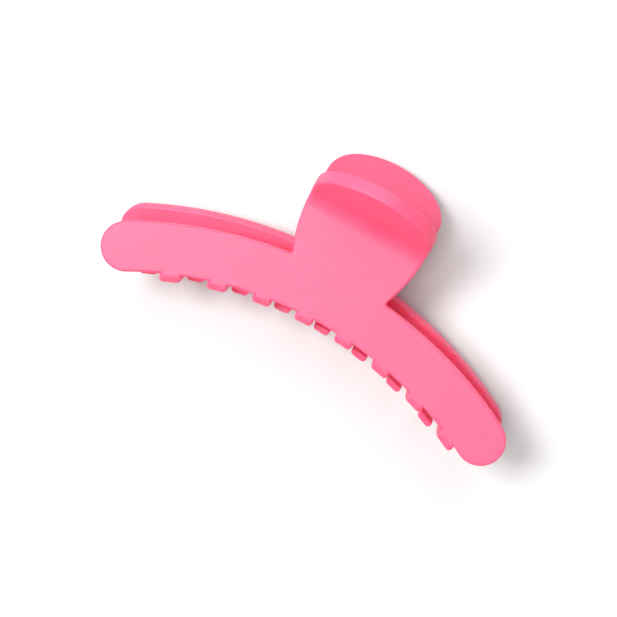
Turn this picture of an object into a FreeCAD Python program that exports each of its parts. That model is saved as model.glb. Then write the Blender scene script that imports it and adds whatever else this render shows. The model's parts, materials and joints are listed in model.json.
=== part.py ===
import FreeCAD, Part

import math
import os

import Sketcher

# A large crescent claw clip, closed and lying on its side on a table.
# +X runs along the hinge pin, the thumb tabs point to +Y and +Z is up from the table.
# Each jaw is drawn in a frame of its own: the hinge pin lies on X, the jaw stands on the -Y side
# and its thumb tab points to +Z. Both jaws come from one mould, so the second is the first one
# turned half a turn about Z.

V = FreeCAD.Vector
doc = FreeCAD.newDocument("claw_clip")

DRIVING = {
    # arm: a crescent band with fully rounded tips
    "overall_length": 120.0,
    "band_width": 13.4,
    "mid_radius": 112.2,
    "plate_thickness": 3.9,
    "plate_lean": 7.0,            # degrees; the two plates stand further apart at the teeth
    "plate_skew": 0.65,           # degrees; each plate's turn about its face, off square to the pin
    "face_offset": 10.1,          # hinge axis to a jaw's outer face
    "top_drop": 4.8,              # hinge axis down to the crown of the arm
    # thumb tab
    "tab_width": 34.6,
    "neck_width": 27.6,
    "side_height": 11.0,          # where the tab reaches its full width
    "bend_height": 7.2,
    "bend_radius": 5.0,
    "bend_angle": 66.0,           # degrees from the flat plate to the flared end
    "flare_length": 16.2,
    "crown_radius": 20.0,
    "corner_radius": 14.0,
    "edge_radius": 0.7,
    "trim_margin": 3.0,           # how far the cutting outlines reach past the tab
    # teeth
    "tooth_pitch": 12.1,
    "tooth_width": 5.3,
    "tooth_draft": 1.2,           # degrees
    "tooth_reach": 16.8,          # outer face of the jaw to the tip of a tooth
    "heel_radius": 2.2,
    "sole_radius": 50.0,
    "heel_angle": 82.0,           # degrees
    "throat_radius": 2.5,
    "inside_radius": 40.0,
    "sole_rounding": 1.0,
    "tip_rounding": 0.5,
    "root_height": 2.3,
    # hinge
    "pin_diameter": 2.4,
    "running_clearance": 0.05,
    "lug_radius": 3.8,
    "lug_foot": 12.6,
    "lug_thickness": 3.0,
    "lug_gap": 0.3,
    "spring_bay": 10.0,
    "pin_head": 3.8,
    "head_thickness": 0.8,
    "end_play": 0.15,
    # torsion spring
    "wire_diameter": 1.1,
    "coil_diameter": 4.3,
    "coil_pitch": 1.2,
    "coil_turns": 6.0,
    "leg_length": 8.6,
    "leg_angle": 21.5,            # degrees outward from straight up
    "seat_width": 1.6,
    "seat_depth": 0.5,
    "seat_low": 5.2,
    "seat_high": 8.0,
    # small mould details
    "ejector_diameter": 1.3,
    "ejector_depth": 0.4,
    "ejector_x": 38.9,
    "ejector_drop": 11.6,
    # resting pose
    "rest_tilt": 14.0,            # degrees
}

TEETH = 8
RING_LONG = 28.8                  # degrees of the tooth ring on its longer side
RING_SHORT = 25.5
AWAY = 60.0                       # longer than any cut has to be
SHARP = 0.8                       # cosine between two faces below which their edge is sharp
SOLE_TOP = 1.2                    # the soles' rounded edges start this far above the arm's edge
SOLE_FALL = 3.0                   # and the line that parts them from the throats falls this much
SOLE_RUN = 8.0                    # over this depth

sheet = doc.addObject("Spreadsheet::Sheet", "sizes")
for row, (alias, value) in enumerate(DRIVING.items(), start=1):
    sheet.set(f"A{row}", alias)
    sheet.set(f"B{row}", str(value))
    sheet.setAlias(f"B{row}", alias)
doc.recompute()


def size(alias):
    return float(getattr(sheet, alias))


def cell(text):
    """An expression in which every sheet alias stands for its cell."""
    words = {alias: f"sizes.{alias}" for alias in DRIVING}
    out = []
    word = ""
    for letter in text + " ":
        if letter.isalnum() or letter == "_":
            word += letter
            continue
        out.append(words.get(word, word))
        out.append(letter)
        word = ""
    return "".join(out).strip()


def origin_plane(body, role):
    return next(item for item in body.Origin.OriginFeatures if item.Role == role)


def new_body(name):
    body = doc.addObject("PartDesign::Body", name)
    body.AllowCompound = True
    return body


def new_sketch(body, name, role, base=(0.0, 0.0, 0.0), axis=(0, 0, 1), angle=0.0, bind=None):
    """A sketch on an origin plane, shifted and turned as its attachment offset says."""
    sketch = body.newObject("Sketcher::SketchObject", name)
    sketch.AttachmentSupport = [(origin_plane(body, role), "")]
    sketch.MapMode = "FlatFace"
    sketch.AttachmentOffset = FreeCAD.Placement(V(*base), FreeCAD.Rotation(V(*axis), angle))
    for field, text in (bind or {}).items():
        sketch.setExpression("AttachmentOffset." + field, cell(text))
    return sketch


def limit(sketch, kind, *args, to):
    """A driving dimension of a sketch, bound to the sheet."""
    index = sketch.addConstraint(Sketcher.Constraint(kind, *args))
    sketch.setExpression(f"Constraints[{index}]", cell(to))


def tie(sketch, kind, *args):
    sketch.addConstraint(Sketcher.Constraint(kind, *args))


def line(sketch, start, end):
    return sketch.addGeometry(Part.LineSegment(V(*start, 0), V(*end, 0)), False)


def arc(sketch, centre, radius, start, end):
    circle = Part.Circle(V(*centre, 0), V(0, 0, 1), radius)
    return sketch.addGeometry(Part.ArcOfCircle(circle, math.radians(start), math.radians(end)), False)


def along(centre, radius, angle):
    turn = math.radians(angle)
    return (centre[0] + radius * math.cos(turn), centre[1] + radius * math.sin(turn))


START, END, CENTRE = 1, 2, 3
AXIS_X, AXIS_Y = -1, -2
ORIGIN = (-1, 1)


def extrude(body, kind, name, sketch, length, midplane=True, reverse=False):
    feature = body.newObject("PartDesign::" + kind, name)
    feature.Profile = sketch
    feature.setExpression("Length", cell(length))
    feature.SideType = "Symmetric" if midplane else "One side"
    feature.Reversed = reverse
    sketch.Visibility = False
    body.Tip = feature
    doc.recompute()
    return feature


def round_edges(body, name, radius, wanted):
    """A fillet on every edge of the tip that the test picks."""
    base = body.Tip
    names = [f"Edge{i}" for i, edge in enumerate(base.Shape.Edges, start=1) if wanted(edge)]
    fillet = body.newObject("PartDesign::Fillet", name)
    fillet.Base = (base, names)
    fillet.setExpression("Radius", cell(radius))
    body.Tip = fillet
    doc.recompute()
    return fillet


# ---------------------------------------------------------------- frames on a jaw

CENTRE_DROP = "(top_drop + mid_radius + band_width / 2)"


def face_sketch(body, name):
    """A sketch on a jaw's leaning outer face: x along the clip, y up the face."""
    return new_sketch(
        body, name, "XZ_Plane", axis=(-1, 0, 0), angle=size("plate_lean"),
        base=(0, 0, size("face_offset")),
        bind={"Base.z": "face_offset", "Rotation.Angle": "plate_lean"})


def side_sketch(body, name):
    """A sketch across a jaw at mid length: x into the jaw from its outer face, y up the face."""
    return new_sketch(
        body, name, "YZ_Plane", axis=(0, 0, -1), angle=size("plate_lean"),
        base=(-size("face_offset"), 0, 0),
        bind={"Base.x": "-face_offset", "Rotation.Angle": "plate_lean"})


def face_frame(point):
    """A jaw point as (x, depth behind the outer face, height up the face)."""
    lean = math.radians(size("plate_lean"))
    y = point.y + size("face_offset")
    depth = y * math.cos(lean) - point.z * math.sin(lean)
    height = y * math.sin(lean) + point.z * math.cos(lean)
    return point.x, depth, height


# ---------------------------------------------------------------- arm and tab

def draw_arm(body):
    sketch = face_sketch(body, "arm_outline")
    half_band = size("band_width") / 2
    middle = size("mid_radius")
    centre = (0, -(size("top_drop") + middle + half_band))
    tip_x = size("overall_length") / 2 - half_band
    reach = math.degrees(math.asin(tip_x / middle))
    outer = arc(sketch, centre, middle + half_band, 90 - reach, 90 + reach)
    inner = arc(sketch, centre, middle - half_band, 90 - reach, 90 + reach)
    right = arc(sketch, along(centre, middle, 90 - reach), half_band, -90 - reach, 90 - reach)
    left = arc(sketch, along(centre, middle, 90 + reach), half_band, 90 + reach, 270 + reach)
    tie(sketch, "Coincident", outer, CENTRE, inner, CENTRE)
    tie(sketch, "PointOnObject", outer, CENTRE, AXIS_Y)
    tie(sketch, "Tangent", outer, START, right, END)
    tie(sketch, "Tangent", inner, START, right, START)
    tie(sketch, "Tangent", outer, END, left, START)
    tie(sketch, "Tangent", inner, END, left, END)
    limit(sketch, "DistanceY", outer, CENTRE, *ORIGIN, -centre[1], to=CENTRE_DROP)
    limit(sketch, "Radius", outer, middle + half_band, to="mid_radius + band_width / 2")
    limit(sketch, "Radius", inner, middle - half_band, to="mid_radius - band_width / 2")
    limit(sketch, "DistanceX", *ORIGIN, right, CENTRE, tip_x, to="(overall_length - band_width) / 2")
    limit(sketch, "DistanceX", left, CENTRE, *ORIGIN, tip_x, to="(overall_length - band_width) / 2")
    extrude(body, "Pad", "arm", sketch, "plate_thickness", midplane=False, reverse=True)


def draw_tab(body):
    """The tab in side view: flat against the arm, then one bend and a straight flare."""
    sketch = side_sketch(body, "tab_profile")
    thickness = size("plate_thickness")
    foot = -size("top_drop") - size("band_width") / 4
    height = size("bend_height")
    radius = size("bend_radius")
    turn = size("bend_angle")
    length = size("flare_length")
    centre = (-radius, height)
    out_start = along(centre, radius, turn)
    in_start = along(centre, radius + thickness, turn)
    out_end = along(out_start, length, turn + 90)
    in_end = along(in_start, length, turn + 90)
    face = line(sketch, (0, foot), (0, height))
    bend = arc(sketch, centre, radius, 0, turn)
    flare = line(sketch, out_start, out_end)
    lip = line(sketch, out_end, in_end)
    back_flare = line(sketch, in_end, in_start)
    back_bend = arc(sketch, centre, radius + thickness, 0, turn)
    back = line(sketch, (thickness, height), (thickness, foot))
    base = line(sketch, (thickness, foot), (0, foot))
    tie(sketch, "PointOnObject", face, START, AXIS_Y)
    tie(sketch, "Vertical", face)
    tie(sketch, "Tangent", face, END, bend, START)
    tie(sketch, "Tangent", bend, END, flare, START)
    tie(sketch, "Coincident", flare, END, lip, START)
    tie(sketch, "Perpendicular", flare, lip)
    tie(sketch, "Coincident", lip, END, back_flare, START)
    tie(sketch, "Coincident", bend, CENTRE, back_bend, CENTRE)
    tie(sketch, "Tangent", back_flare, END, back_bend, END)
    tie(sketch, "Tangent", back, START, back_bend, START)
    tie(sketch, "Coincident", back, END, base, START)
    tie(sketch, "Coincident", base, END, face, START)
    tie(sketch, "Horizontal", base)
    limit(sketch, "DistanceY", face, START, *ORIGIN, -foot, to="top_drop + band_width / 4")
    limit(sketch, "DistanceY", *ORIGIN, face, END, height, to="bend_height")
    limit(sketch, "Radius", bend, radius, to="bend_radius")
    limit(sketch, "Distance", lip, thickness, to="plate_thickness")
    limit(sketch, "Distance", flare, length, to="flare_length")
    limit(sketch, "Angle", flare, math.radians(turn + 90), to="(bend_angle + 90) * 1deg")
    extrude(body, "Pad", "tab", sketch, "tab_width")


def trim_tab_sides(body):
    """The tab widens in a gentle curve from the neck to its full width."""
    half_neck = size("neck_width") / 2
    half_tab = size("tab_width") / 2
    outer_radius = size("mid_radius") + size("band_width") / 2
    centre = (0, -size("top_drop") - outer_radius)
    top = size("side_height")
    clear = half_tab + size("trim_margin")
    sketch = face_sketch(body, "tab_sides")
    for side in (1, -1):
        neck = (side * half_neck, centre[1] + math.sqrt(outer_radius ** 2 - half_neck ** 2))
        rise = top - neck[1]
        radius = (rise ** 2 + (half_tab - half_neck) ** 2) / (2 * (half_tab - half_neck))
        swing = math.degrees(math.asin(rise / radius))
        hub = (side * (half_tab - radius), top)
        if side > 0:
            flank = arc(sketch, hub, radius, -swing, 0)
            low, high = START, END
        else:
            flank = arc(sketch, hub, radius, 180, 180 + swing)
            low, high = END, START
        edge_angle = math.degrees(math.asin(clear / outer_radius))
        neck_angle = math.degrees(math.asin(half_neck / outer_radius))
        if side > 0:
            crown = arc(sketch, centre, outer_radius, 90 - edge_angle, 90 - neck_angle)
            near, far = END, START
        else:
            crown = arc(sketch, centre, outer_radius, 90 + neck_angle, 90 + edge_angle)
            near, far = START, END
        corner = (side * clear, centre[1] + math.sqrt(outer_radius ** 2 - clear ** 2))
        wall = line(sketch, corner, (side * clear, top))
        roof = line(sketch, (side * clear, top), (side * half_tab, top))
        tie(sketch, "Coincident", flank, low, crown, near)
        tie(sketch, "Coincident", crown, far, wall, START)
        tie(sketch, "Coincident", wall, END, roof, START)
        tie(sketch, "Coincident", roof, END, flank, high)
        tie(sketch, "PointOnObject", crown, CENTRE, AXIS_Y)
        tie(sketch, "Vertical", wall)
        tie(sketch, "Horizontal", roof)
        limit(sketch, "DistanceY", crown, CENTRE, *ORIGIN, -centre[1], to=CENTRE_DROP)
        limit(sketch, "Radius", crown, outer_radius, to="mid_radius + band_width / 2")
        limit(sketch, "DistanceY", *ORIGIN, roof, END, top, to="side_height")
        tie(sketch, "Horizontal", flank, CENTRE, flank, high)
        ends = {1: (ORIGIN, (roof, END)), -1: ((roof, END), ORIGIN)}[side]
        limit(sketch, "DistanceX", *ends[0], *ends[1], half_tab, to="tab_width / 2")
        ends = {1: (ORIGIN, (wall, END)), -1: ((wall, END), ORIGIN)}[side]
        limit(sketch, "DistanceX", *ends[0], *ends[1], clear, to="tab_width / 2 + trim_margin")
        ends = {1: (ORIGIN, (flank, low)), -1: ((flank, low), ORIGIN)}[side]
        limit(sketch, "DistanceX", *ends[0], *ends[1], half_neck, to="neck_width / 2")
    extrude(body, "Pocket", "tab_side_trim", sketch, str(AWAY))


def trim_tab_end(body):
    """The flared end is cut to an arch, square to the flare."""
    up = "(bend_height + bend_radius * sin(bend_angle * 1deg))"
    out = "(bend_radius * (1 - cos(bend_angle * 1deg)))"
    tilt = math.radians(size("plate_lean"))
    turn = math.radians(size("bend_angle"))
    up_now = size("bend_height") + size("bend_radius") * math.sin(turn)
    out_now = size("bend_radius") * (1 - math.cos(turn))
    base = (0, up_now * math.cos(tilt) + out_now * math.sin(tilt),
            size("face_offset") - up_now * math.sin(tilt) + out_now * math.cos(tilt))
    sketch = new_sketch(
        body, "tab_arch", "XZ_Plane", axis=(1, 0, 0), base=base,
        angle=size("bend_angle") - size("plate_lean"),
        bind={"Base.y": f"{up} * cos(plate_lean * 1deg) + {out} * sin(plate_lean * 1deg)",
              "Base.z": f"face_offset - {up} * sin(plate_lean * 1deg) + {out} * cos(plate_lean * 1deg)",
              "Rotation.Angle": "bend_angle - plate_lean"})
    half = size("tab_width") / 2
    length = size("flare_length")
    crown = size("crown_radius")
    corner = size("corner_radius")
    hub_x = half - corner
    hub_y = length - crown + math.sqrt((crown - corner) ** 2 - hub_x ** 2)
    lean_out = math.degrees(math.atan2(hub_x, hub_y - (length - crown)))
    clear = half + size("trim_margin")
    above = length + size("trim_margin")
    top = arc(sketch, (0, length - crown), crown, 90 - lean_out, 90 + lean_out)
    right = arc(sketch, (hub_x, hub_y), corner, 0, 90 - lean_out)
    left = arc(sketch, (-hub_x, hub_y), corner, 90 + lean_out, 180)
    floor_right = line(sketch, (half, hub_y), (clear, hub_y))
    wall_right = line(sketch, (clear, hub_y), (clear, above))
    roof = line(sketch, (clear, above), (-clear, above))
    wall_left = line(sketch, (-clear, above), (-clear, hub_y))
    floor_left = line(sketch, (-clear, hub_y), (-half, hub_y))
    tie(sketch, "Tangent", top, START, right, END)
    tie(sketch, "Tangent", top, END, left, START)
    tie(sketch, "PointOnObject", top, CENTRE, AXIS_Y)
    tie(sketch, "Coincident", right, START, floor_right, START)
    tie(sketch, "Coincident", floor_right, END, wall_right, START)
    tie(sketch, "Coincident", wall_right, END, roof, START)
    tie(sketch, "Coincident", roof, END, wall_left, START)
    tie(sketch, "Coincident", wall_left, END, floor_left, START)
    tie(sketch, "Coincident", floor_left, END, left, END)
    for edge in (floor_right, roof, floor_left):
        tie(sketch, "Horizontal", edge)
    for edge in (wall_right, wall_left):
        tie(sketch, "Vertical", edge)
    tie(sketch, "Horizontal", right, CENTRE, right, START)
    tie(sketch, "Horizontal", left, CENTRE, left, END)
    tie(sketch, "Equal", right, left)
    limit(sketch, "Radius", top, crown, to="crown_radius")
    limit(sketch, "Radius", right, corner, to="corner_radius")
    limit(sketch, "DistanceX", *ORIGIN, right, START, half, to="tab_width / 2")
    limit(sketch, "DistanceX", left, END, *ORIGIN, half, to="tab_width / 2")
    limit(sketch, "DistanceY", top, CENTRE, *ORIGIN, crown - length, to="crown_radius - flare_length")
    limit(sketch, "DistanceX", *ORIGIN, wall_right, END, clear, to="tab_width / 2 + trim_margin")
    limit(sketch, "DistanceX", wall_left, START, *ORIGIN, clear, to="tab_width / 2 + trim_margin")
    limit(sketch, "DistanceY", *ORIGIN, roof, START, above, to="flare_length + trim_margin")
    extrude(body, "Pocket", "tab_arch_trim", sketch, "4 * plate_thickness")


def is_sharp(shape, edge):
    """True for an outward edge where two faces meet at a clear angle."""
    faces = shape.ancestorsOfType(edge, Part.Face)
    if len(faces) != 2:
        return False
    middle = edge.valueAt((edge.FirstParameter + edge.LastParameter) / 2)
    normals = [face.normalAt(*face.Surface.parameter(middle)) for face in faces]
    if normals[0].dot(normals[1]) > SHARP:
        return False
    probe = middle - (normals[0] + normals[1]).normalize() * 0.05
    return shape.isInside(probe, 0.001, False)


def draw_plate(body):
    draw_arm(body)
    draw_tab(body)
    trim_tab_sides(body)
    trim_tab_end(body)
    shape = body.Tip.Shape
    round_edges(body, "plate_rounding", "edge_radius", lambda edge: is_sharp(shape, edge))


# ---------------------------------------------------------------- teeth

def tooth_positions():
    """Centres along X: the row is half a tooth pitch off centre, so that two jaws interleave."""
    first = -(TEETH / 2 - 0.75)
    return [(first + i) * size("tooth_pitch") for i in range(TEETH)]


def draw_tooth_ring(body):
    """One tooth in side view, swept round the centre of the arm's arc."""
    drop = size("top_drop") + size("mid_radius") + size("band_width") / 2
    lean = math.radians(size("plate_lean"))
    sketch = new_sketch(
        body, "tooth_profile", "YZ_Plane", axis=(0, 0, -1), angle=size("plate_lean"),
        base=(-size("face_offset") - drop * math.sin(lean), -drop * math.cos(lean), 0),
        bind={"Base.x": f"-face_offset - {CENTRE_DROP} * sin(plate_lean * 1deg)",
              "Base.y": f"-{CENTRE_DROP} * cos(plate_lean * 1deg)",
              "Rotation.Angle": "plate_lean"})
    edge = size("mid_radius") - size("band_width") / 2
    top = edge + size("root_height")
    thick = size("plate_thickness")
    turn = size("heel_angle")
    reach = size("tooth_reach")

    def curl(start, small, large):
        """Two tangent arcs that leave a wall downward and curve across to the tooth's tip."""
        hub = (start[0] + small, start[1])
        joint = along(hub, small, 180 + turn)
        far_hub = along(joint, large, turn)
        sweep = math.degrees(math.asin((reach - far_hub[0]) / large))
        first = arc(sketch, hub, small, 180, 180 + turn)
        second = arc(sketch, far_hub, large, 180 + turn, 270 + sweep)
        return first, second, along(far_hub, large, 270 + sweep)

    heel, sole, tip_low = curl((0, edge), size("heel_radius"), size("sole_radius"))
    throat, inside, tip_high = curl((thick, top), size("throat_radius"), size("inside_radius"))
    wall = line(sketch, (0, top), (0, edge))
    tip = line(sketch, tip_low, tip_high)
    roof = line(sketch, (thick, top), (0, top))
    tie(sketch, "PointOnObject", wall, START, AXIS_Y)
    tie(sketch, "Vertical", wall)
    tie(sketch, "Tangent", wall, END, heel, START)
    tie(sketch, "Tangent", heel, END, sole, START)
    tie(sketch, "Coincident", sole, END, tip, START)
    tie(sketch, "Vertical", tip)
    tie(sketch, "Coincident", tip, END, inside, END)
    tie(sketch, "Tangent", throat, END, inside, START)
    tie(sketch, "Coincident", throat, START, roof, START)
    tie(sketch, "Coincident", roof, END, wall, START)
    tie(sketch, "Horizontal", roof)
    tie(sketch, "Horizontal", throat, CENTRE, throat, START)
    turned = "(1 - cos(heel_angle * 1deg))"
    limit(sketch, "DistanceY", *ORIGIN, heel, START, edge, to="mid_radius - band_width / 2")
    limit(sketch, "DistanceY", *ORIGIN, roof, END, top, to="mid_radius - band_width / 2 + root_height")
    limit(sketch, "DistanceX", *ORIGIN, roof, START, thick, to="plate_thickness")
    limit(sketch, "DistanceX", *ORIGIN, tip, START, reach, to="tooth_reach")
    limit(sketch, "Radius", heel, size("heel_radius"), to="heel_radius")
    limit(sketch, "Radius", sole, size("sole_radius"), to="sole_radius")
    limit(sketch, "Radius", throat, size("throat_radius"), to="throat_radius")
    limit(sketch, "Radius", inside, size("inside_radius"), to="inside_radius")
    step = 1 - math.cos(math.radians(turn))
    limit(sketch, "DistanceX", *ORIGIN, heel, END, size("heel_radius") * step,
          to=f"heel_radius * {turned}")
    limit(sketch, "DistanceX", *ORIGIN, throat, END, thick + size("throat_radius") * step,
          to=f"plate_thickness + throat_radius * {turned}")
    ring = body.newObject("PartDesign::Revolution", "tooth_ring")
    ring.Profile = sketch
    ring.ReferenceAxis = (sketch, ["H_Axis"])
    ring.Type = "TwoAngles"
    ring.Angle = RING_LONG
    ring.Angle2 = RING_SHORT
    body.Tip = ring
    doc.recompute()


def cut_tooth_gaps(body):
    """The gaps widen inward, which is the draft that lets the moulding leave its tool."""
    pitch = size("tooth_pitch")
    gap = pitch - size("tooth_width")
    first = tooth_positions()[0] - pitch / 2
    low = -size("band_width") * 3
    high = -size("top_drop")
    sketch = face_sketch(body, "tooth_gap")
    sketch.setExpression("AttachmentOffset.Base.z", cell("face_offset + 1"))
    left, right = first - gap / 2, first + gap / 2
    corners = [(left, low), (right, low), (right, high), (left, high)]
    sides = [line(sketch, corners[i], corners[(i + 1) % 4]) for i in range(4)]
    for i in range(4):
        tie(sketch, "Coincident", sides[i], END, sides[(i + 1) % 4], START)
    for i in (0, 2):
        tie(sketch, "Horizontal", sides[i])
        tie(sketch, "Vertical", sides[i + 1])
    limit(sketch, "DistanceX", sides[0], START, sides[0], END, gap, to="tooth_pitch - tooth_width")
    limit(sketch, "DistanceX", sides[0], START, *ORIGIN, gap / 2 - first,
          to=f"tooth_pitch * {TEETH / 2 - 0.25} + (tooth_pitch - tooth_width) / 2")
    limit(sketch, "DistanceY", sides[0], START, *ORIGIN, -low, to="band_width * 3")
    limit(sketch, "DistanceY", sides[2], START, *ORIGIN, -high, to="top_drop")
    cut = extrude(body, "Pocket", "first_gap", sketch, "face_offset * 2 + 2", midplane=False)
    cut.setExpression("TaperAngle", cell("tooth_draft"))
    pattern = body.newObject("PartDesign::LinearPattern", "tooth_gaps")
    pattern.Originals = [cut]
    pattern.Direction = (sketch, ["H_Axis"])
    pattern.setExpression("Length", cell(f"tooth_pitch * {TEETH}"))
    pattern.Occurrences = TEETH + 1
    body.Tip = pattern
    doc.recompute()


def on_tooth_sole(edge):
    """True for a tooth's edge between one of its sides and its outer, hair-side face."""
    middle = edge.valueAt((edge.FirstParameter + edge.LastParameter) / 2)
    x, depth, height = face_frame(middle)
    drop = size("top_drop") + size("mid_radius") + size("band_width") / 2
    level = math.hypot(x, height + drop) - (size("mid_radius") - size("band_width") / 2)
    return level < SOLE_TOP - SOLE_FALL * min(depth / SOLE_RUN, 1) and depth < size("tooth_reach") - 0.1


def on_tooth_tip(edge):
    middle = edge.valueAt((edge.FirstParameter + edge.LastParameter) / 2)
    return abs(face_frame(middle)[1] - size("tooth_reach")) < 0.05


def draw_teeth(body):
    draw_tooth_ring(body)
    cut_tooth_gaps(body)
    shape = body.Tip.Shape
    round_edges(body, "sole_rounding", "sole_rounding",
                lambda edge: is_sharp(shape, edge) and on_tooth_sole(edge))
    round_edges(body, "tip_rounding", "tip_rounding", on_tooth_tip)


# ---------------------------------------------------------------- hinge lugs and small details

def draw_lug(body, name, centre, where):
    """One ear from the plate to the hinge pin."""
    foot_y = -(size("face_offset") - size("plate_thickness") / 2)
    foot_z = size("lug_foot") / 2
    radius = size("lug_radius")
    angle = math.degrees(math.atan2(foot_z, foot_y) - math.acos(radius / math.hypot(foot_y, foot_z)))
    sketch = new_sketch(body, name + "_profile", "YZ_Plane", base=(0, 0, centre), bind={"Base.z": where})
    eye = arc(sketch, (0, 0), radius, -angle, angle)
    top = line(sketch, along((0, 0), radius, angle), (foot_y, foot_z))
    wall = line(sketch, (foot_y, foot_z), (foot_y, -foot_z))
    low = line(sketch, (foot_y, -foot_z), along((0, 0), radius, -angle))
    tie(sketch, "Coincident", eye, CENTRE, *ORIGIN)
    tie(sketch, "Tangent", eye, END, top, START)
    tie(sketch, "Coincident", top, END, wall, START)
    tie(sketch, "Coincident", wall, END, low, START)
    tie(sketch, "Tangent", low, END, eye, START)
    tie(sketch, "Symmetric", wall, START, wall, END, AXIS_X)
    limit(sketch, "Radius", eye, radius, to="lug_radius")
    limit(sketch, "DistanceX", wall, START, *ORIGIN, -foot_y, to="face_offset - plate_thickness / 2")
    limit(sketch, "DistanceY", wall, END, wall, START, 2 * foot_z, to="lug_foot")
    extrude(body, "Pad", name, sketch, "lug_thickness")


def draw_lugs(body):
    """An inner and an outer ear on opposite sides, so that two equal jaws interlock."""
    bay = size("spring_bay") / 2
    thick = size("lug_thickness")
    draw_lug(body, "inner_lug", bay + thick / 2, "spring_bay / 2 + lug_thickness / 2")
    draw_lug(body, "outer_lug", -(bay + 1.5 * thick + size("lug_gap")),
             "-(spring_bay / 2 + 1.5 * lug_thickness + lug_gap)")
    sketch = new_sketch(body, "bore", "YZ_Plane")
    hole = sketch.addGeometry(Part.Circle(V(0, 0, 0), V(0, 0, 1), size("pin_diameter") / 2), False)
    tie(sketch, "Coincident", hole, CENTRE, *ORIGIN)
    limit(sketch, "Radius", hole, size("pin_diameter") / 2 + size("running_clearance"),
          to="pin_diameter / 2 + running_clearance")
    extrude(body, "Pocket", "pin_bore", sketch, str(AWAY))


def inside_sketch(body, name, skin):
    """A sketch parallel to the outer face, as deep in the plate as the expression says."""
    sketch = face_sketch(body, name)
    sketch.setExpression("AttachmentOffset.Base.y", cell(f"-({skin}) * sin(plate_lean * 1deg)"))
    sketch.setExpression("AttachmentOffset.Base.z",
                         cell(f"face_offset - ({skin}) * cos(plate_lean * 1deg)"))
    return sketch


def cut_spring_seat(body):
    """A short groove inside the tab that keeps the spring's leg in place."""
    half = size("seat_width") / 2
    x = -spring_leg_x()
    low = size("seat_low")
    high = size("seat_high")
    sketch = inside_sketch(body, "seat_outline", "plate_thickness - seat_depth")
    left = line(sketch, (x - half, high), (x - half, low))
    base = arc(sketch, (x, low), half, 180, 360)
    right = line(sketch, (x + half, low), (x + half, high))
    top = arc(sketch, (x, high), half, 0, 180)
    tie(sketch, "Tangent", left, END, base, START)
    tie(sketch, "Tangent", base, END, right, START)
    tie(sketch, "Tangent", right, END, top, START)
    tie(sketch, "Tangent", top, END, left, START)
    tie(sketch, "Vertical", left)
    limit(sketch, "Radius", base, half, to="seat_width / 2")
    limit(sketch, "DistanceX", base, CENTRE, *ORIGIN, -x, to=LEG_X)
    limit(sketch, "DistanceY", *ORIGIN, base, CENTRE, low, to="seat_low")
    limit(sketch, "DistanceY", *ORIGIN, top, CENTRE, high, to="seat_high")
    extrude(body, "Pocket", "spring_seat", sketch, "plate_thickness / 2", midplane=False)


def cut_ejector_mark(body):
    """The round dimple that an ejector pin leaves inside the arm, near its top edge."""
    x = -size("ejector_x")
    height = -size("ejector_drop")
    radius = size("ejector_diameter") / 2
    sketch = inside_sketch(body, "ejector_outline", "plate_thickness - ejector_depth")
    mark = sketch.addGeometry(Part.Circle(V(x, height, 0), V(0, 0, 1), radius), False)
    limit(sketch, "Radius", mark, radius, to="ejector_diameter / 2")
    limit(sketch, "DistanceX", mark, CENTRE, *ORIGIN, -x, to="ejector_x")
    limit(sketch, "DistanceY", mark, CENTRE, *ORIGIN, -height, to="ejector_drop")
    extrude(body, "Pocket", "ejector_mark", sketch, "plate_thickness / 2", midplane=False)


# ---------------------------------------------------------------- the four pieces

LEG_X = ("(coil_pitch * (coil_turns + 0.5 - leg_angle / 180) / 2"
         " + leg_length * coil_pitch / (pi * coil_diameter) / 2)")


def spring_half_turn():
    """Half of the coil, in degrees: it ends where the wire points up and outward."""
    return 90 - size("leg_angle") + 180 * size("coil_turns")


def spring_leg_x():
    """Where the middle of a leg stands along the pin."""
    pitch = size("coil_pitch")
    end = pitch * spring_half_turn() / 360
    return end + size("leg_length") * pitch / (math.pi * size("coil_diameter")) / 2


def turn_in_plane(body):
    """Set a body a little askew about the axis through the hinge that is square to its outer face."""
    lean = math.radians(size("plate_lean"))
    outward = V(0, -math.cos(lean), math.sin(lean))
    body.Placement = FreeCAD.Placement(V(0, 0, 0), FreeCAD.Rotation(outward, size("plate_skew")))
    body.setExpression("Placement.Rotation.Angle", cell("plate_skew"))


def make_jaw(name):
    """Plate and teeth lie slightly askew, as on a worn mould; the lugs stay square to the pin."""
    plate = new_body(name + "_plate")
    draw_plate(plate)
    cut_spring_seat(plate)
    cut_ejector_mark(plate)
    comb = new_body(name + "_comb")
    draw_teeth(comb)
    lugs = new_body(name + "_lugs")
    draw_lugs(lugs)
    turn_in_plane(plate)
    turn_in_plane(comb)
    jaw = doc.addObject("Part::MultiFuse", name)
    jaw.Shapes = [plate, comb, lugs]
    jaw.Refine = True
    return jaw


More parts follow.
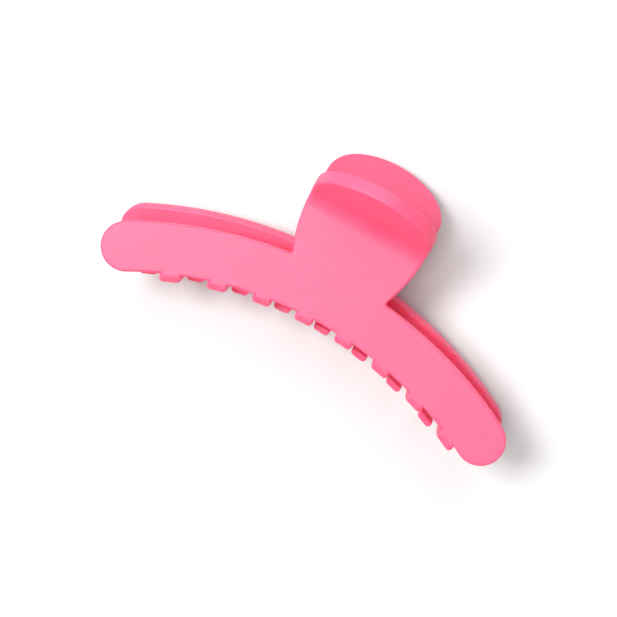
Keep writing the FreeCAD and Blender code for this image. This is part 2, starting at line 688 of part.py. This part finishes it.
def make_pin():
    """A straight steel pin with a head at each end, turned about X."""
    body = new_body("hinge_pin")
    sketch = new_sketch(body, "pin_profile", "XZ_Plane")
    stack = size("spring_bay") / 2 + 2 * size("lug_thickness") + size("lug_gap")
    shoulder = stack + size("end_play")
    end = shoulder + size("head_thickness")
    shank = size("pin_diameter") / 2
    head = size("pin_head") / 2
    points = [(-end, 0), (-end, head), (-shoulder, head), (-shoulder, shank),
              (shoulder, shank), (shoulder, head), (end, head), (end, 0)]
    sides = [line(sketch, points[i], points[(i + 1) % 8]) for i in range(8)]
    for i in range(8):
        tie(sketch, "Coincident", sides[i], END, sides[(i + 1) % 8], START)
        tie(sketch, "Horizontal" if i % 2 else "Vertical", sides[i])
    tie(sketch, "PointOnObject", sides[7], END, AXIS_X)
    tie(sketch, "Equal", sides[0], sides[6])
    tie(sketch, "Equal", sides[1], sides[5])
    half = "(spring_bay / 2 + 2 * lug_thickness + lug_gap + end_play)"
    limit(sketch, "DistanceX", sides[3], START, *ORIGIN, shoulder, to=half)
    limit(sketch, "DistanceX", *ORIGIN, sides[3], END, shoulder, to=half)
    limit(sketch, "DistanceX", sides[1], START, sides[1], END, end - shoulder, to="head_thickness")
    limit(sketch, "DistanceY", *ORIGIN, sides[3], START, shank, to="pin_diameter / 2")
    limit(sketch, "DistanceY", *ORIGIN, sides[1], START, head, to="pin_head / 2")
    turned = body.newObject("PartDesign::Revolution", "pin_turned")
    turned.Profile = sketch
    turned.ReferenceAxis = (sketch, ["H_Axis"])
    turned.Angle = 360
    body.Tip = turned
    doc.recompute()
    rim = end - 0.01
    round_edges(body, "pin_rounding", "head_thickness / 2",
                lambda edge: abs(edge.CenterOfMass.x) > rim and edge.Length > 2 * head)
    return body


def make_spring():
    """Round wire: a straight leg, a coil round the pin and a second leg, in one sweep."""
    radius = size("coil_diameter") / 2
    pitch = size("coil_pitch")
    half_turn = spring_half_turn()
    helix = Part.makeHelix(pitch, pitch * half_turn / 180, radius)
    turn = FreeCAD.Rotation(V(1, 0, 0), -half_turn).multiply(FreeCAD.Rotation(V(0, 1, 0), 90))
    helix.Placement = FreeCAD.Placement(V(-pitch * half_turn / 360, 0, 0), turn)
    coil = helix.Edges[0]
    start = coil.valueAt(coil.FirstParameter)
    end = coil.valueAt(coil.LastParameter)
    start_way = coil.tangentAt(coil.FirstParameter)
    end_way = coil.tangentAt(coil.LastParameter)
    first_tip = start - start_way * size("leg_length")
    last_tip = end + end_way * size("leg_length")
    path = Part.Wire([Part.makeLine(first_tip, start), coil, Part.makeLine(end, last_tip)])
    section = Part.Wire(Part.makeCircle(size("wire_diameter") / 2, first_tip, start_way))
    spring = doc.addObject("Part::Feature", "torsion_spring")
    spring.Shape = path.makePipeShell([section], True, False)
    return spring


def place_at_rest(front, back, others):
    """Lay the clip on its back jaw: half a turn between the jaws, then one tilt for all."""
    tilt = FreeCAD.Rotation(V(1, 0, 0), size("rest_tilt") - 90)
    lying = FreeCAD.Placement(V(0, 0, 0), tilt)
    turned = FreeCAD.Placement(V(0, 0, 0), tilt.multiply(FreeCAD.Rotation(V(0, 0, 1), 180)))
    front.Placement = lying
    back.Placement = turned
    for piece in others:
        piece.Placement = lying
    doc.recompute()
    low = back.Shape.optimalBoundingBox(False)
    high = front.Shape.optimalBoundingBox(False)
    middle = (min(low.YMin, high.YMin) + max(low.YMax, high.YMax)) / 2
    shift = V(0, -middle, -low.ZMin)
    for piece in (front, back, *others):
        piece.Placement = FreeCAD.Placement(shift, piece.Placement.Rotation)
    doc.recompute()
    return shift


front_jaw = make_jaw("front_jaw")
back_jaw = make_jaw("back_jaw")
hinge_pin = make_pin()
torsion_spring = make_spring()
pieces = [front_jaw, back_jaw, hinge_pin, torsion_spring]
hinge = place_at_rest(front_jaw, back_jaw, [hinge_pin, torsion_spring])

for item in doc.Objects:
    if "Invalid" in item.State or "Error" in item.State:
        raise RuntimeError(f"{item.Label} did not compute: {item.State}")
os.makedirs("parts", exist_ok=True)
for piece in pieces:
    shape = piece.Shape
    if shape.isNull() or not shape.isValid() or len(shape.Solids) != 1:
        raise RuntimeError(f"{piece.Label} is not one sound solid")
    shape.exportStep(f"parts/{piece.Label}.step")
    box = shape.optimalBoundingBox(False)
    print(f"{piece.Label}: {box.XLength:.2f} x {box.YLength:.2f} x {box.ZLength:.2f} mm, "
          f"{shape.Volume / 1000:.2f} cm3")
print(f"hinge axis at y {hinge.y:.3f} z {hinge.z:.3f} mm")
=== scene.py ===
import json
import math

import bmesh
import bpy
from mathutils import Matrix, Vector


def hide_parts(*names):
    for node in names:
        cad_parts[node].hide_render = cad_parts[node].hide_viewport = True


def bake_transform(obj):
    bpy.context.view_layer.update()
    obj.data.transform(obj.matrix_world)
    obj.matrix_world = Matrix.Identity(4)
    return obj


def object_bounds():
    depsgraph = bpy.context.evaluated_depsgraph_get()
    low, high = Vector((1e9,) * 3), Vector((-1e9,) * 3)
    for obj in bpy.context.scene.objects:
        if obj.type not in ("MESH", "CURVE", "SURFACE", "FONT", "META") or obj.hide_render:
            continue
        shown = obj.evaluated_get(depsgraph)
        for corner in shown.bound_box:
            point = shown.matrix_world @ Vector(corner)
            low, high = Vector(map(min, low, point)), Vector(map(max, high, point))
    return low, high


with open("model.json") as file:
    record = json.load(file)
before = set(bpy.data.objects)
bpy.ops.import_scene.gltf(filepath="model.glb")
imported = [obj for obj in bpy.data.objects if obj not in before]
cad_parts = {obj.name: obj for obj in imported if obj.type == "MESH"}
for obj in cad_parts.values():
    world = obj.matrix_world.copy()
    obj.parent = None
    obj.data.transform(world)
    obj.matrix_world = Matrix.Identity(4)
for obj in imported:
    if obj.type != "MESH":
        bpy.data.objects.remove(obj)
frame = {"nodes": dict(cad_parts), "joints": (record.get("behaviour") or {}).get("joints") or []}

# A large crescent claw clip of matte pink plastic, closed, lying on its side on a white table.
# The jaws and the pin are the frame's own nodes; the torsion spring is rebuilt as a round wire
# along its centre line, in the rest pose.

MM = 0.001
nodes = frame["nodes"]
cad_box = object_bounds()
HINGE = Vector(frame["joints"][0]["pos_m"])
TABLE_Z = cad_box[0].z

# spring, as in the part
REST_TILT = 14.0                  # degrees between the jaws' middle plane and the table
WIRE = 1.1 * MM
COIL_RADIUS = 4.3 / 2 * MM
COIL_PITCH = 1.2 * MM
COIL_TURNS = 6.0
LEG_LENGTH = 8.6 * MM
LEG_ANGLE = 21.5                  # degrees outward from straight up
BROKEN_RIM = 0.14                 # share of the wire's radius, at its cut ends
STEPS_PER_TURN = 80
LEG_STEPS = 12
WIRE_SIDES = 20

# camera: straight above, the clip's length turned across the frame
SENSOR = 36.0
FRAME_WIDTH = 617.0               # the image's width, in pixels
FOCAL = 1600.0                    # focal length, in the same pixels
CAMERA_OFFSET = Vector((-3.0, -18.4, 427.6)) * MM
CAMERA_TURN = 29.4                # degrees about the vertical
CLIP_START = 0.01

# table and light
TABLE_SIZE = 6.0
LIGHT_DISTANCE = 1.1              # from the hinge to every softbox
ROOM_LIGHT = 0.27                 # strength of the even white surroundings

# the part of a noise texture's range, from 0 to 1, that nearly all of it falls in
NOISE_LOW = 0.3
NOISE_HIGH = 0.7


# ---------------------------------------------------------------- node helpers

class Graph:
    """A material's node tree, with short calls for the nodes that the recipes use."""

    def __init__(self, name):
        self.material = bpy.data.materials.new(name)
        self.material.use_nodes = True
        self.tree = self.material.node_tree
        self.shader = self.tree.nodes["Principled BSDF"]

    def node(self, kind, **values):
        made = self.tree.nodes.new("ShaderNode" + kind)
        for name, value in values.items():
            setattr(made, name, value)
        return made

    def join(self, source, target):
        self.tree.links.new(source, target)

    def noise(self, coordinate, scale, detail=2.0, roughness=0.5):
        made = self.node("TexNoise")
        self.join(coordinate, made.inputs["Vector"])
        made.inputs["Scale"].default_value = scale
        made.inputs["Detail"].default_value = detail
        made.inputs["Roughness"].default_value = roughness
        return made.outputs["Fac"]

    def spread(self, value, low, high):
        """A noise value spread over another range."""
        made = self.node("MapRange")
        self.join(value, made.inputs["Value"])
        made.inputs["From Min"].default_value = NOISE_LOW
        made.inputs["From Max"].default_value = NOISE_HIGH
        made.inputs["To Min"].default_value = low
        made.inputs["To Max"].default_value = high
        return made.outputs["Result"]

    def bump(self, height, strength, distance, below=None):
        made = self.node("Bump")
        self.join(height, made.inputs["Height"])
        made.inputs["Strength"].default_value = strength
        made.inputs["Distance"].default_value = distance
        if below is not None:
            self.join(below, made.inputs["Normal"])
        return made.outputs["Normal"]

    def mix(self, factor, first, second):
        made = self.node("Mix", data_type="RGBA")
        self.join(factor, made.inputs["Factor"])
        made.inputs["A"].default_value = first
        made.inputs["B"].default_value = second
        return made.outputs["Result"]


# ---------------------------------------------------------------- materials

def pink_plastic():
    """Solid-dyed plastic with a soft matte finish: fine eroded grain, faint flow marks, a little glow."""
    graph = Graph("pink_plastic")
    where = graph.node("TexCoord").outputs["Object"]
    cloud = graph.noise(where, 55.0, 3.0)
    grain = graph.noise(where, 5200.0, 2.0, 0.6)
    dimple = graph.noise(where, 900.0, 2.0)
    colour = graph.mix(graph.spread(cloud, 0.0, 1.0), (0.90, 0.100, 0.212, 1), (0.92, 0.112, 0.228, 1))
    graph.join(colour, graph.shader.inputs["Base Color"])
    graph.join(graph.spread(dimple, 0.46, 0.54), graph.shader.inputs["Roughness"])
    coarse = graph.bump(dimple, 0.05, 0.02 * MM)
    graph.join(graph.bump(grain, 0.25, 0.008 * MM, coarse), graph.shader.inputs["Normal"])
    graph.shader.inputs["IOR"].default_value = 1.46
    graph.shader.inputs["Specular IOR Level"].default_value = 0.5
    graph.shader.inputs["Subsurface Weight"].default_value = 1.0
    graph.shader.inputs["Subsurface Radius"].default_value = (1.0, 0.05, 0.08)
    graph.shader.inputs["Subsurface Scale"].default_value = 7.0 * MM
    return graph.material


def drawn_steel():
    """Bright spring wire: faint lines along the draw and small tonal patches."""
    graph = Graph("drawn_steel")
    where = graph.node("TexCoord").outputs["Object"]
    patch = graph.noise(where, 700.0, 3.0)
    scratch = graph.noise(where, 6000.0, 2.0)
    colour = graph.mix(graph.spread(patch, 0.0, 1.0), (0.50, 0.50, 0.52, 1), (0.66, 0.66, 0.68, 1))
    graph.join(colour, graph.shader.inputs["Base Color"])
    graph.join(graph.spread(patch, 0.22, 0.36), graph.shader.inputs["Roughness"])
    graph.join(graph.bump(scratch, 0.2, 0.005 * MM), graph.shader.inputs["Normal"])
    graph.shader.inputs["Metallic"].default_value = 1.0
    return graph.material


def white_table():
    """A smooth matt white sheet with hardly visible mottling."""
    graph = Graph("white_table")
    where = graph.node("TexCoord").outputs["Object"]
    mottle = graph.noise(where, 40.0, 3.0)
    colour = graph.mix(graph.spread(mottle, 0.0, 1.0), (0.61, 0.61, 0.61, 1), (0.63, 0.63, 0.63, 1))
    graph.join(colour, graph.shader.inputs["Base Color"])
    graph.shader.inputs["Roughness"].default_value = 0.9
    graph.shader.inputs["Specular IOR Level"].default_value = 0.1
    return graph.material


def paint(piece, material):
    piece.data.materials.clear()
    piece.data.materials.append(material)


# ---------------------------------------------------------------- spring

def spring_path():
    """The wire's centre line: a leg, the coil about the pin and the second leg."""
    half_turn = 90 - LEG_ANGLE + 180 * COIL_TURNS
    steps = STEPS_PER_TURN * int(COIL_TURNS)

    def on_coil(angle):
        turn = math.radians(angle)
        return Vector((COIL_PITCH * angle / 360, COIL_RADIUS * math.sin(turn), -COIL_RADIUS * math.cos(turn)))

    coil = [on_coil(-half_turn + 2 * half_turn * i / steps) for i in range(steps + 1)]
    first_way = (coil[0] - coil[1]).normalized()
    last_way = (coil[-1] - coil[-2]).normalized()
    first_leg = [coil[0] + first_way * LEG_LENGTH * i / LEG_STEPS for i in range(LEG_STEPS, 0, -1)]
    last_leg = [coil[-1] + last_way * LEG_LENGTH * i / LEG_STEPS for i in range(1, LEG_STEPS + 1)]
    lay = Matrix.Translation(HINGE) @ Matrix.Rotation(math.radians(REST_TILT - 90), 4, "X")
    return [lay @ point for point in first_leg + coil + last_leg]


def tube(name, path, radius):
    """A round wire along a path; its flat cut ends have a slightly broken rim."""
    rim = BROKEN_RIM * radius
    first_way = (path[0] - path[1]).normalized()
    last_way = (path[-1] - path[-2]).normalized()
    centres = [path[0], path[0] - first_way * rim, *path[1:-1], path[-1] - last_way * rim, path[-1]]
    radii = [radius - rim, *([radius] * len(path)), radius - rim]
    last = len(centres) - 1
    side = first_way.orthogonal().normalized()
    mesh = bmesh.new()
    loops = []
    for i, (centre, reach) in enumerate(zip(centres, radii)):
        way = (centres[min(i + 1, last)] - centres[max(i - 1, 0)]).normalized()
        side = (side - way * side.dot(way)).normalized()
        across = way.cross(side)
        turns = [2 * math.pi * j / WIRE_SIDES for j in range(WIRE_SIDES)]
        rays = [side * math.cos(turn) + across * math.sin(turn) for turn in turns]
        loops.append([mesh.verts.new(centre + ray * reach) for ray in rays])
    for near, far in zip(loops, loops[1:]):
        for j in range(WIRE_SIDES):
            after = (j + 1) % WIRE_SIDES
            mesh.faces.new((near[j], near[after], far[after], far[j])).smooth = True
    mesh.faces.new(loops[0])
    mesh.faces.new(loops[-1])
    bmesh.ops.recalc_face_normals(mesh, faces=mesh.faces)
    data = bpy.data.meshes.new(name)
    mesh.to_mesh(data)
    mesh.free()
    piece = bpy.data.objects.new(name, data)
    bpy.context.scene.collection.objects.link(piece)
    return piece


def make_spring():
    """The spring's wire, built once in the rest pose, in place of the CAD spring, which is hidden."""
    spring = tube("spring_wire", spring_path(), WIRE / 2)
    paint(spring, drawn_steel())
    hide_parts("torsion_spring")
    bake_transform(spring)


# ---------------------------------------------------------------- table, light and camera

def make_table():
    bpy.ops.mesh.primitive_plane_add(size=TABLE_SIZE, location=(0, 0, TABLE_Z))
    table = bpy.context.object
    table.name = "table_top"
    paint(table, white_table())


def area_light(name, left, up, width, power):
    """A square softbox that faces the hinge, from a direction given as the camera sees the table."""
    data = bpy.data.lights.new(name, "AREA")
    data.shape = "SQUARE"
    data.size = width
    data.energy = power
    light = bpy.data.objects.new(name, data)
    seen = Vector((-left, up, math.sqrt(1 - left ** 2 - up ** 2)))
    aim = Matrix.Rotation(math.radians(CAMERA_TURN), 3, "Z") @ seen
    light.location = HINGE + aim * LIGHT_DISTANCE
    light.rotation_mode = "QUATERNION"
    light.rotation_quaternion = aim.to_track_quat("Z", "Y")
    bpy.context.scene.collection.objects.link(light)


def make_lights():
    """Softboxes at the picture's left, at its top and close beside the camera, in a white room."""
    area_light("key", left=0.42, up=0.13, width=0.36, power=12.5)
    area_light("top", left=-0.10, up=0.55, width=0.9, power=6.5)
    area_light("beside", left=0.16, up=-0.20, width=0.4, power=4.0)
    world = bpy.data.worlds.new("white_room")
    world.use_nodes = True
    backdrop = world.node_tree.nodes["Background"]
    backdrop.inputs["Color"].default_value = (1.0, 1.0, 1.0, 1.0)
    backdrop.inputs["Strength"].default_value = ROOM_LIGHT
    bpy.context.scene.world = world
    bpy.context.scene.view_settings.view_transform = "Standard"


def make_camera():
    data = bpy.data.cameras.new("camera")
    data.sensor_width = SENSOR
    data.lens = FOCAL / FRAME_WIDTH * SENSOR
    data.clip_start = CLIP_START
    camera = bpy.data.objects.new("camera", data)
    camera.location = HINGE + CAMERA_OFFSET
    camera.rotation_euler = (0, 0, math.radians(CAMERA_TURN))
    bpy.context.scene.collection.objects.link(camera)
    bpy.context.scene.camera = camera


plastic = pink_plastic()
paint(nodes["front_jaw"], plastic)
paint(nodes["back_jaw"], plastic)
paint(nodes["hinge_pin"], drawn_steel())
make_spring()
make_table()
make_lights()
make_camera()
